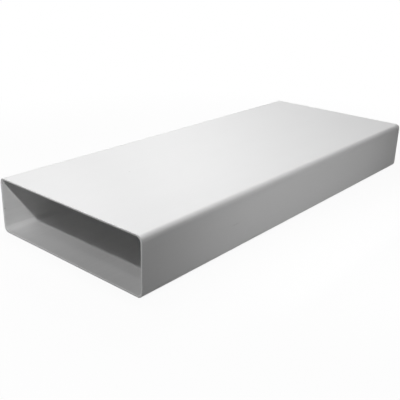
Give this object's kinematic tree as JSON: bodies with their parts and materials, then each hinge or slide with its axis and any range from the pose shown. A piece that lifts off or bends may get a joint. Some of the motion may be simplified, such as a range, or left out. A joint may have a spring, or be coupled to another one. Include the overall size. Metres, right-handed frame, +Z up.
{
  "type": "flat channel duct",
  "caption": "Straight length of flat rectangular plastic duct with rounded long corners and open sawn ends, for carrying ventilation air.",
  "frame": {"origin": "middle of the underside, on the surface that the duct lies on", "axes": "+X across the duct's width, +Y along its length, +Z up through its height"},
  "size_m": [0.204, 0.5, 0.06],
  "materials": {
    "white_pvc": "satin white, as extruded"
  },
  "bodies": {
    "root": {"duct": "white_pvc"}
  },
  "joints": []
}
